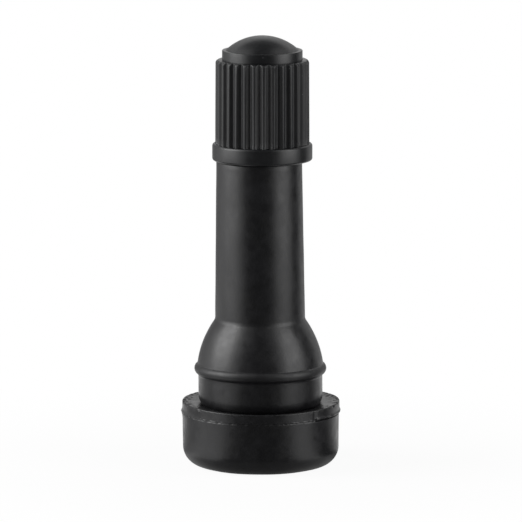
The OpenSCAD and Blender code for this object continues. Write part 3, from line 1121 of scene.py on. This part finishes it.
@dataclass
class RibbedCap:
    """Moulded screw cap with a collar, a ribbed grip, a smooth ring and a dome, and its washer."""

    row_step: float = 0.1
    bore_r: float = 3.9
    mouth_chamfer: float = 0.5
    thread: Thread = Thread(pitch=INCH / 32, depth=0.38, crest=0.14, shift=0.5)
    collar_r: float = 6.07
    collar_h: float = 2.05
    collar_round: float = 0.3
    # Grip over the crests of its ribs, with a bevel at their foot
    crest_r: float = 5.72
    draft: float = 0.05
    grip_rows: int = 12
    grip_round: float = 0.4
    ribs: int = 30
    rib_columns: int = 14
    rib_depth: float = 0.4
    rib_turn: float = 8.0
    rib_foot: float = 0.06
    # Ring, the ledge on it and the dome
    ring_r: float = 4.87
    ring_h: float = 1.17
    ring_round: float = 0.07
    ledge_w: float = 0.45
    dome_h: float = 1.75
    # Roof with the recess for the washer
    roof_t: float = 2.55
    recess_r: float = 4.2
    washer_r: float = 4.15
    washer_hole_r: float = 1.5
    washer_rounding: float = 0.12
    washer_columns: int = 120

    def __post_init__(self) -> None:
        """Takes the ends of the cap and of the washer from the frame."""
        self.low, self.top = span("valve_cap")
        self.washer_low, self.washer_top = span("cap_seal")
        self.collar_in = self.collar_r - self.collar_round
        self.collar_top = self.low + self.collar_h
        self.ring_top = self.top - self.dome_h
        self.grip_top = self.ring_top - self.ring_h

    def inside(self) -> np.ndarray:
        """Works out the inside from the middle of the roof down to the mouth.

        Returns:
            The outline.
        """
        play = self.recess_r - self.washer_r
        recess_z = self.washer_low - play
        bore_low = self.low + self.mouth_chamfer
        roof = self.top - self.roof_t
        recess = [(0, roof), (self.recess_r, roof), (self.recess_r, recess_z), (self.bore_r, recess_z)]
        bore = np.arange(recess_z, bore_low, -self.row_step)[1:]
        mouth = [(self.bore_r, bore_low), (self.bore_r + self.mouth_chamfer, self.low)]
        return np.vstack([recess, np.stack(np.broadcast_arrays(self.bore_r, bore), axis=1), mouth])

    def collar(self) -> np.ndarray:
        """Works out the collar with its two rounded edges.

        Returns:
            The outline.
        """
        low, high = self.low + self.collar_round, self.collar_top - self.collar_round
        lower = arc((self.collar_in, low), self.collar_round, -90, 0, steps=7)
        return np.vstack([lower, arc((self.collar_in, high), self.collar_round, 0, 90, steps=7)])

    def grip(self) -> np.ndarray:
        """Works out the grip over the crests, from the collar to the ring.

        Returns:
            The outline.
        """
        top_r, edge_z = self.crest_r - self.draft, self.grip_top - self.grip_round
        wall = np.linspace((self.crest_r, self.collar_top + self.rib_foot), (top_r, edge_z), self.grip_rows)
        edge = arc((top_r - self.grip_round, edge_z), self.grip_round, 0, 90, steps=8)
        return np.vstack([wall, edge[1:]])

    def head(self) -> np.ndarray:
        """Works out the ring and the dome, part of a ball of radius (width^2 + height^2) / (2 height).

        Returns:
            The outline.
        """
        dome_r = self.ring_r - self.ledge_w
        ball_r = (dome_r**2 + self.dome_h**2) / (2 * self.dome_h)
        rise = math.degrees(math.acos(dome_r / ball_r))
        wall = [(self.ring_r, self.grip_top), (self.ring_r, (self.grip_top + self.ring_top) / 2)]
        edge = (self.ring_r - self.ring_round, self.ring_top - self.ring_round)
        dome = arc((0, self.top - ball_r), ball_r, rise, 90, steps=28)
        return np.vstack([wall, arc(edge, self.ring_round, 0, 90, steps=5), dome])

    def build(self) -> bpy.types.Object:
        """Revolves the cap's section and shapes the ribs and the thread on it.

        On the grip the radius is the smaller of the drafted grip and the ribs' wave: the crest's radius less
        depth times (1 - cos(ribs times angle)) / 2. In the bore the thread is taken off the radius.

        Returns:
            The cap.
        """
        angle = even(self.ribs * self.rib_columns)
        phase = self.ribs * (angle - math.radians(self.rib_turn))
        rib_r = self.crest_r - self.rib_depth * (1 - np.cos(phase)) / 2
        foot_r = np.minimum(rib_r + self.rib_foot, self.collar_in)
        inside_r, inside_z = rows_of(self.inside())
        teeth = self.thread.ridge(inside_z, angle, self.low + self.mouth_chamfer, self.washer_low)
        grip_r, grip_z = rows_of(self.grip())
        stretches = [
            (inside_r - teeth * np.isclose(inside_r, self.bore_r), inside_z),
            rows_of(self.collar()),
            (foot_r[None], np.array([[self.collar_top]])),
            (np.minimum(grip_r, rib_r), grip_z),
            rows_of(self.head()),
        ]
        radius, height = (
            np.vstack([np.broadcast_to(side, (len(side), len(angle))) for side in sides])
            for sides in zip(*stretches)
        )
        return mesh_of("ribbed_cap", lathe(radius, height, angle, ring=False))

    def build_washer(self) -> bpy.types.Object:
        """Revolves the washer's section with pressed edges."""
        corners = ring_section(self.washer_hole_r, (self.washer_r,) * 2, (self.washer_low, self.washer_top))
        return turned("roof_washer", corners, self.washer_rounding, self.washer_columns)

    def dress(self, cap: bpy.types.Object, washer: bpy.types.Object) -> None:
        """Gives the cap its plastic and the washer its rubber, each in its place."""
        fit(cap, "valve_cap", Body.CAP, PLASTIC)
        fit(washer, "cap_seal", Body.WASHER, SEAL_RUBBER)


@dataclass
class ValveCore:
    """Sprung core in the stem's bore: plug, barrel, gasket, pin, spring, cup and seal."""

    columns: int = 128
    rounding: float = 0.05
    play: float = 0.05
    # Threaded plug, crimped under the barrel's head. Its thread runs out past both ends
    plug_r: float = 2.6
    plug_bore_r: float = 1.55
    plug_step: float = 0.08
    crimp_h: float = 0.4
    thread: Thread = Thread(pitch=INCH / 36, depth=0.26)
    thread_past: float = 0.3
    # Bridge on the plug. Its upper edge is given by how far in and how far down each row lies
    bridge_r: float = 2.37
    bridge_t: float = 1.9
    bridge_h: float = 3.0
    bridge_sink: float = 0.15
    bridge_edge: tuple[Pair, ...] = ((0, 0.15), (0.05, 0.04), (0.15, 0))
    bridge_power: int = 12
    bridge_hole_r: float = 0.75
    hole_chamfer: float = 0.1
    # Barrel with its swivel head, the gasket's groove, and the tube for the spring
    head_r: float = 1.9
    head_low: float = 42.45
    barrel_neck_r: float = 1.7
    shoulder_r: float = 2.3
    shoulder_top: float = 41.75
    seat_top: float = 41.25
    seat_low: float = 39.85
    groove_r: float = 1.5
    collar_r: float = 1.88
    tube_r: float = 1.6
    tube_top: float = 39.35
    lip_w: float = 0.25
    shelf_r: float = 0.85
    spring_bore_r: float = 1.15
    # Gasket, with its outer radius below and above
    gasket_r: Pair = (2.0, 2.42)
    gasket_rounding: float = 0.08
    # Pin with a collar over the spring, a tip, and a rivet under the cup
    pin_columns: int = 72
    pin_r: float = 0.5
    pin_collar_r: float = 1.01
    pin_collar_h: float = 0.4
    pin_chamfer: float = 0.05
    tip_r: float = 0.65
    tip_h: float = 0.6
    tip_round: float = 0.15
    rivet_out: float = 0.3
    rivet_edge: float = 0.03
    rivet_round: float = 0.12
    # Spring, cup and seal
    wire_d: float = 0.24
    wire_sides: int = 14
    coil_r: float = 0.89
    coil_turns: int = 8
    coil_steps: int = 40
    cup_r: float = 1.75
    cup_wall: float = 0.25
    seal_r: float = 1.5
    seal_rounding: float = 0.1

    def __post_init__(self) -> None:
        """Takes the heights of the pieces from the frame and the pin's travel from its joint."""
        self.plug_low, self.bridge_top = span("core_plug")
        self.lip_z, self.head_top = span("core_barrel")
        self.pin_low, self.pin_top = span("core_pin")
        self.shelf_z, self.spring_top = span("core_spring")
        self.cup_low, self.cup_top = span("pin_cup")
        self.seal_low, self.seal_top = span("pin_seal")
        self.plug_top = self.bridge_top - self.bridge_h
        press = next(joint for joint in frame["joints"] if joint["name"] == "pin_press")
        self.travel = press["range_m"][1] / MM

    def plug_ring(self, angle: np.ndarray) -> Grid:
        """Works out the plug's ring, with the thread cut into the rows on its outer radius.

        Args:
            angle: angle of each column, in radians.

        Returns:
            The surface.
        """
        neck_r = self.barrel_neck_r + self.play
        head_r = self.head_r + self.play
        corners = [
            (neck_r, self.plug_low),
            (self.plug_r, self.plug_low),
            (self.plug_r, self.plug_top),
            (self.plug_bore_r, self.plug_top),
            (self.plug_bore_r, self.head_top),
            (head_r, self.head_top),
            (head_r, self.plug_low + self.crimp_h),
            (neck_r, self.plug_low + self.crimp_h),
        ]
        outline = soften(np.array(corners), self.rounding)
        radius, height = rows_of(refine(np.vstack([outline, outline[:1]]), self.plug_step)[:-1])
        low, high = self.plug_low - self.thread_past, self.plug_top + self.thread_past
        cut = self.thread.depth - self.thread.ridge(height, angle, low, high)
        return lathe(radius - cut * np.isclose(radius, self.plug_r, atol=self.rounding / 5), height, angle)

    def bridge_ring(self, angle: np.ndarray) -> Grid:
        """Works out the bridge, a ring with two flats.

        At each angle a its outer radius is the smaller, softly, of the round end and the flat at half the
        thickness over |sin a|: (1 / end^n + 1 / flat^n) to the power -1 / n, with a high n.

        Args:
            angle: angle of each column, in radians.

        Returns:
            The surface.
        """
        n = self.bridge_power
        one_over_flat = np.abs(np.sin(angle)) / (self.bridge_t / 2)
        outer = (self.bridge_r**-n + one_over_flat**n) ** (-1 / n)
        foot, top = self.plug_top - self.bridge_sink, self.bridge_top
        hole_r, chamfer = self.bridge_hole_r, self.hole_chamfer
        edge = [(-inward, top - down, 1) for inward, down in self.bridge_edge]
        hole = [(hole_r + chamfer, top, 0), (hole_r, top - chamfer, 0)]
        offset, level, share = np.array([(hole_r, foot, 0), (0, foot, 1), *edge, *hole]).T[..., None]
        return lathe(offset + share * outer, level, angle)

    def build_plug(self) -> bpy.types.Object:
        """Makes the threaded ring and the bridge that stands on it."""
        angle = even(self.columns)
        return mesh_of("core_plug_bridge", self.plug_ring(angle), self.bridge_ring(angle))

    def build_barrel(self) -> bpy.types.Object:
        """Revolves the barrel's section from the seat edge up to the swivel head.

        Returns:
            The barrel.
        """
        lip_r = self.shelf_r + self.lip_w
        corners = [
            (self.shelf_r, self.lip_z),
            (lip_r, self.lip_z),
            (self.tube_r, self.lip_z + self.tube_r - lip_r),
            (self.tube_r, self.tube_top),
            (self.collar_r, self.tube_top),
            (self.collar_r, self.seat_low),
            (self.groove_r, self.seat_low),
            (self.groove_r, self.seat_top),
            (self.shoulder_r, self.seat_top),
            (self.shoulder_r, self.shoulder_top),
            (self.barrel_neck_r, self.shoulder_top),
            (self.barrel_neck_r, self.head_low),
            (self.head_r, self.head_low),
            (self.head_r, self.head_top),
            (self.spring_bore_r, self.head_top),
            (self.spring_bore_r, self.shelf_z),
            (self.shelf_r, self.shelf_z),
        ]
        return turned("swivel_barrel", corners, self.rounding, self.columns)

    def build_gasket(self) -> bpy.types.Object:
        """Revolves the gasket's section, which fits the cone seat of the stem."""
        corners = ring_section(self.groove_r, self.gasket_r, (self.seat_low, self.seat_top))
        return turned("cone_gasket", corners, self.gasket_rounding, self.columns)

    def build_pin(self) -> bpy.types.Object:
        """Revolves the pin from its rivet to its tip, both closed on the axis, with rounded ends.

        Returns:
            The pin.
        """
        tip_low = self.pin_top - self.tip_h
        under, over = self.spring_top, self.spring_top + self.pin_collar_h
        rivet_r = self.pin_r + self.rivet_out
        rivet_end = (self.pin_r - self.rivet_round, self.pin_low + self.rivet_round)
        tip_end = (self.tip_r - self.tip_round, self.pin_top - self.tip_round)
        shaft = [
            (rivet_r, self.cup_low - self.rivet_edge),
            (rivet_r, self.cup_low),
            (self.pin_r, self.cup_low),
            (self.pin_r, under),
            (self.pin_collar_r - self.pin_chamfer, under),
            (self.pin_collar_r, under + self.pin_chamfer),
            (self.pin_collar_r, over - self.pin_chamfer),
            (self.pin_collar_r - self.pin_chamfer, over),
            (self.pin_r, over),
            (self.pin_r, tip_low - self.tip_r + self.pin_r),
            (self.tip_r, tip_low),
        ]
        outline = np.vstack(
            [
                [(0, self.pin_low)],
                arc(rivet_end, self.rivet_round, -90, -20, steps=4),
                shaft,
                arc(tip_end, self.tip_round, 0, 90, steps=5),
                [(0, self.pin_top)],
            ]
        )
        return mesh_of("press_pin", lathe(*rows_of(outline), even(self.pin_columns), ring=False))

    def build_spring(self) -> bpy.types.Object:
        """Sweeps the wire's circle along the coil: one closed turn at each end and even turns between.

        A point at turn t and wire angle w lies at radius coil + wire cos(w) and height z(t) + wire sin(w),
        where z(t) runs straight between the ends of the closed turns. The circle shrinks to a point at each
        end of the wire.

        Returns:
            The spring.
        """
        turn = np.linspace(0, self.coil_turns, self.coil_turns * self.coil_steps + 1)
        half = self.wire_d / 2
        low, high = self.shelf_z + half, self.spring_top - half
        stops = [0, 1, self.coil_turns - 1, self.coil_turns]
        middle = np.interp(turn, stops, [low, low + self.wire_d, high - self.wire_d, high])
        wire_r = np.pad(np.full(turn.shape, half), 1)[:, None]
        turn, middle = (np.pad(values, 1, mode="edge")[:, None] for values in (turn, middle))
        around = -even(self.wire_sides)
        radius = self.coil_r + wire_r * np.cos(around)
        height = middle + wire_r * np.sin(around)
        return mesh_of("wound_spring", lathe(radius, height, TURN * turn, ring=False))

    def build_cup(self) -> bpy.types.Object:
        """Revolves the cup's section, a floor around the pin and a thin wall.

        Returns:
            The cup.
        """
        corners = [
            (self.pin_r, self.cup_low),
            (self.cup_r, self.cup_low),
            (self.cup_r, self.cup_top),
            (self.seal_r, self.cup_top),
            (self.seal_r, self.cup_low + self.cup_wall),
            (self.pin_r, self.cup_low + self.cup_wall),
        ]
        return turned("seal_cup", corners, self.rounding, self.columns)

    def build_seal(self) -> bpy.types.Object:
        """Revolves the seal ring that fills the cup and meets the barrel's edge."""
        corners = ring_section(self.pin_r, (self.seal_r,) * 2, (self.seal_low, self.seal_top))
        return turned("seal_ring", corners, self.seal_rounding, self.columns)

    def dress(self) -> None:
        """Builds the core's pieces and dresses each in its place, the spring with a mesh of its own."""
        fit(self.build_plug(), "core_plug", Body.VALVE, CORE_BRASS)
        fit(self.build_barrel(), "core_barrel", Body.VALVE, CORE_BRASS)
        fit(self.build_gasket(), "barrel_gasket", Body.VALVE, PTFE)
        fit(self.build_pin(), "core_pin", Body.PIN, CORE_BRASS)
        fit(self.build_cup(), "pin_cup", Body.PIN, CORE_BRASS)
        fit(self.build_seal(), "pin_seal", Body.PIN, SEAL_RUBBER)
        spring = self.build_spring()
        fit(spring, "core_spring", Body.VALVE, STEEL)
        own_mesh(spring)


@dataclass(frozen=True)
class SoftBox:
    """Rectangular lamp that stands upright round the object and faces its axis.

    Attributes:
        name: name of the lamp.
        azimuth: direction from the object.
        distance: distance from the axis.
        low: height of the lower edge.
        high: height of the upper edge.
        width: width of the panel.
        radiance: brightness of the panel, where 1 is white.
    """

    name: str
    azimuth: float
    distance: float
    low: float
    high: float
    width: float
    radiance: float

    def build(self) -> None:
        """Adds the lamp, with power 4 times the radiance times the panel's area in square metres."""
        lamp = bpy.data.lights.new(self.name, "AREA")
        lamp.shape = "RECTANGLE"
        lamp.size = self.width * MM
        lamp.size_y = (self.high - self.low) * MM
        lamp.energy = 4 * self.radiance * lamp.size * lamp.size_y
        stand = bpy.data.objects.new(self.name, lamp)
        a = math.radians(self.azimuth)
        outward = Vector((math.sin(a), -math.cos(a), 0))
        stand.location = outward * self.distance * MM + Vector((0, 0, (self.low + self.high) / 2 * MM))
        stand.rotation_mode = "QUATERNION"
        stand.rotation_quaternion = (-outward).to_track_quat("-Z", "Y")
        stand.visible_camera = False
        bpy.context.scene.collection.objects.link(stand)


@dataclass(frozen=True)
class PaintedReflectionCard:
    """Glowing sheet, seen only in the object's reflections, whose tones are painted reflections of a darker
    surround that keep white out of them.

    Attributes:
        name: name of the card.
        profile: distance from the axis and height of each bend, from one end to the other.
        tones: azimuth and brightness of each stop across the card, where brightness 1 is white.
        columns: number of columns across the card.
    """

    name: str
    profile: tuple[Pair, ...]
    tones: tuple[Pair, ...]
    columns: int = 91

    def build(self) -> None:
        """Carries the card's profile around the axis with its tones, and shows it to reflections only."""
        profile = np.array(self.profile)
        stops, levels = np.array(self.tones).T
        azimuth = np.linspace(stops[0], stops[-1], self.columns)
        grid = lathe(*rows_of(profile), np.radians(azimuth + FRONT_DEG), ring=False)
        card = mesh_of(self.name, Grid(grid.points, ring=False, around=False), weld=False)
        tone = card.data.attributes.new("tone", "FLOAT", "POINT")
        tone.data.foreach_set("value", np.tile(np.interp(azimuth, stops, levels), len(profile)))
        card.visible_camera = False
        card.visible_diffuse = False
        card.visible_transmission = False
        card.visible_shadow = False
        material = bpy.data.materials.new(f"{self.name}_painted_reflection")
        material.cycles.emission_sampling = "NONE"
        tree = empty_tree(material)
        level = put(tree, "ShaderNodeAttribute", attribute_name="tone").outputs["Fac"]
        shader = put(tree, "ShaderNodeEmission", {"Color": linear(WHITE), "Strength": level})
        put(tree, "ShaderNodeOutputMaterial", {"Surface": shader.outputs["Emission"]})
        card.data.materials.append(material)


@dataclass
class Studio:
    """White table and surround, four soft boxes, and glowing cards, seen only in reflections, that paint the
    object's reflections.
    """

    floor_r: float = 260.0
    floor_columns: int = 96
    floor_colour: str = "#f4f4f4"
    # Share of the floor's white that shows without lamp light, so that only a soft shadow is left. It grows
    # to 1 over the fade
    floor_glow: float = 0.94
    floor_fade: Pair = (14.0, 60.0)
    # Strength of the surround for the object's own colours. It shows as white, at strength 1
    ambient: float = 0.3
    boxes: tuple[SoftBox, ...] = (
        SoftBox("left_low_box", -80, 450, -150, 150, 360, 1.97),
        SoftBox("left_high_box", -84, 450, 150, 620, 340, 4.0),
        SoftBox("right_low_box", 65, 450, -150, 150, 260, 1.72),
        SoftBox("right_high_box", 69, 450, 150, 520, 270, 2.05),
    )
    # Painted reflections: glowing sheets that only glossy rays see, darker where the object should reflect no
    # white
    cards: tuple[PaintedReflectionCard, ...] = (
        PaintedReflectionCard("front_card", ((12, 0.06), (300, 0.06), (300, 420), (130, 420)), ((-42, 0.1), (38, 0.1))),
        PaintedReflectionCard("right_card", ((90, 0.06), (300, 0.06), (300, 420)), ((92, 0.03), (124, 0.03))),
        PaintedReflectionCard(
            "low_right_card",
            ((12, 0.08), (90, 0.08)),
            ((66, 0.4), (74, 0.03), (98, 0.03), (112, 0.5), (124, 1)),
        ),
        PaintedReflectionCard(
            "back_wall",
            ((100, 0.07), (300, 0.07), (300, 200)),
            ((126, 0.8), (145, 0.5), (170, 0.55), (180, 0.9), (190, 0.5), (215, 0.33), (236, 0.6)),
        ),
        PaintedReflectionCard(
            "neck_card",
            ((50, 0.09), (95, 0.09)),
            (
                *((-140, 0.9), (-118, 0.45), (-95, 0.08), (-45, 0.14), (38, 0.14)),
                *((60, 0.25), (76, 0.2), (100, 0), (122, 0.6), (140, 0.9)),
            ),
        ),
        PaintedReflectionCard("low_left_card", ((12, 0.08), (90, 0.08)), ((-132, 0.6), (-110, 0.3), (-88, 0.62))),
        # Painted contact shadow: a dimmer ring round the base, seen only in reflections, where the table lies
        # in the object's shadow
        PaintedReflectionCard(
            "contact_shadow_card",
            ((7.3, 0.04), (12, 0.04)),
            (
                *((-180, 0.5), (-80, 0.6), (-45, 0.3), (-15, 0.2), (15, 0.2)),
                *((45, 0.35), (70, 0.4), (100, 0.2), (180, 0.5)),
            ),
        ),
        PaintedReflectionCard("roof_card", ((0, 420), (130, 420)), ((-180, 0.12), (180, 0.12))),
        PaintedReflectionCard("back_card", ((130, 420), (430, 420)), ((138, 0.12), (222, 0.12))),
    )

    @staticmethod
    def shown(tree: Tree) -> Socket:
        """Tells the rays that see the plain white: camera, glossy and transmission rays.

        Args:
            tree: node tree that takes the nodes.

        Returns:
            An output that is 1 for those rays, else 0.
        """
        path = put(tree, "ShaderNodeLightPath").outputs
        seen = calc(tree, "ADD", path["Is Camera Ray"], path["Is Glossy Ray"])
        return calc(tree, "ADD", seen, path["Is Transmission Ray"], clamp=True)

    def build_surround(self) -> None:
        """Makes the world white to the eye and in reflections, and dimmer as a light on the object."""
        world = bpy.data.worlds.new("white_surround")
        bpy.context.scene.world = world
        world.cycles.sampling_method = "NONE"
        tree = empty_tree(world)
        strength = calc(tree, "MULTIPLY_ADD", self.shown(tree), 1 - self.ambient, self.ambient)
        light = put(tree, "ShaderNodeBackground", {"Color": linear(WHITE), "Strength": strength})
        put(tree, "ShaderNodeOutputWorld", {"Surface": light.outputs["Background"]})

    def build_floor(self) -> None:
        """Makes the round table: rings of points around the axis, white, with the object's shadow."""
        radius = np.array([[self.floor_r], [self.floor_r / 2], [0]])
        grid = lathe(radius, np.zeros(radius.shape), even(self.floor_columns), ring=False)
        floor = mesh_of("white_table", grid)
        material = bpy.data.materials.new("matt_white_table")
        material.cycles.emission_sampling = "NONE"
        tree = empty_tree(material)
        coords = put(tree, "ShaderNodeTexCoord").outputs["Object"]
        away = put(tree, "ShaderNodeVectorMath", {0: coords}, operation="LENGTH").outputs["Value"]
        fade = (self.floor_fade[0] * MM, self.floor_fade[1] * MM)
        glow_share = rescale(tree, away, fade, (self.floor_glow, 1.0), "SMOOTHSTEP")
        share = calc(tree, "MULTIPLY", self.shown(tree), glow_share)
        paint = put(tree, "ShaderNodeBsdfDiffuse", {"Color": linear(self.floor_colour)}).outputs["BSDF"]
        glow = put(tree, "ShaderNodeEmission", {"Color": linear(WHITE), "Strength": 1.0}).outputs["Emission"]
        mixed = put(tree, "ShaderNodeMixShader", {0: share, 1: paint, 2: glow})
        put(tree, "ShaderNodeOutputMaterial", {"Surface": mixed.outputs["Shader"]})
        floor.data.materials.append(material)

    def build(self) -> None:
        """Builds the surround, the table, the lamps and the cards."""
        bpy.context.scene.view_settings.view_transform = "Standard"
        self.build_surround()
        self.build_floor()
        for stand in (*self.boxes, *self.cards):
            stand.build()
            LOG.info("studio: %s", stand.name)


@dataclass(frozen=True)
class PhotoCamera:
    """Camera at the photograph's viewing angle.

    Attributes:
        image_px: width and height of the picture.
        px_per_mm: scale of the picture at the valve's axis.
        sensor_w: width of the sensor.
        distance: distance from the point it looks at.
        elevation: how far it looks down.
        aim: the point that it looks at.
    """

    image_px: int = 522
    px_per_mm: float = 8.236
    sensor_w: float = 36.0
    distance: float = 800.0
    elevation: float = 9.0
    aim: tuple[float, float, float] = (-0.16, 0.0, 24.99)

    def build(self) -> None:
        """Adds the camera. Its lens is the sensor's width times scale times distance over the image's."""
        lens = bpy.data.cameras.new("photo_camera")
        lens.sensor_width = self.sensor_w
        lens.lens = self.sensor_w * self.px_per_mm * self.distance / self.image_px
        camera = bpy.data.objects.new("photo_camera", lens)
        e = math.radians(self.elevation)
        back = Vector((0, -math.cos(e), math.sin(e)))
        camera.location = (Vector(self.aim) + back * self.distance) * MM
        camera.rotation_mode = "QUATERNION"
        camera.rotation_quaternion = (-back).to_track_quat("-Z", "Y")
        bpy.context.scene.collection.objects.link(camera)
        bpy.context.scene.camera = camera


def main() -> None:
    """Builds the camera, the studio and the sub-assemblies."""
    logging.basicConfig(level=logging.INFO, format="%(name)s: %(message)s")
    PhotoCamera().build()
    Studio().build()
    stem = BrassStem()
    stem.dress(stem.build())
    body = RubberBody(stem)
    body.dress(body.build())
    cap = RibbedCap()
    cap.dress(cap.build(), cap.build_washer())
    ValveCore().dress()


if __name__ == "__main__":
    main()
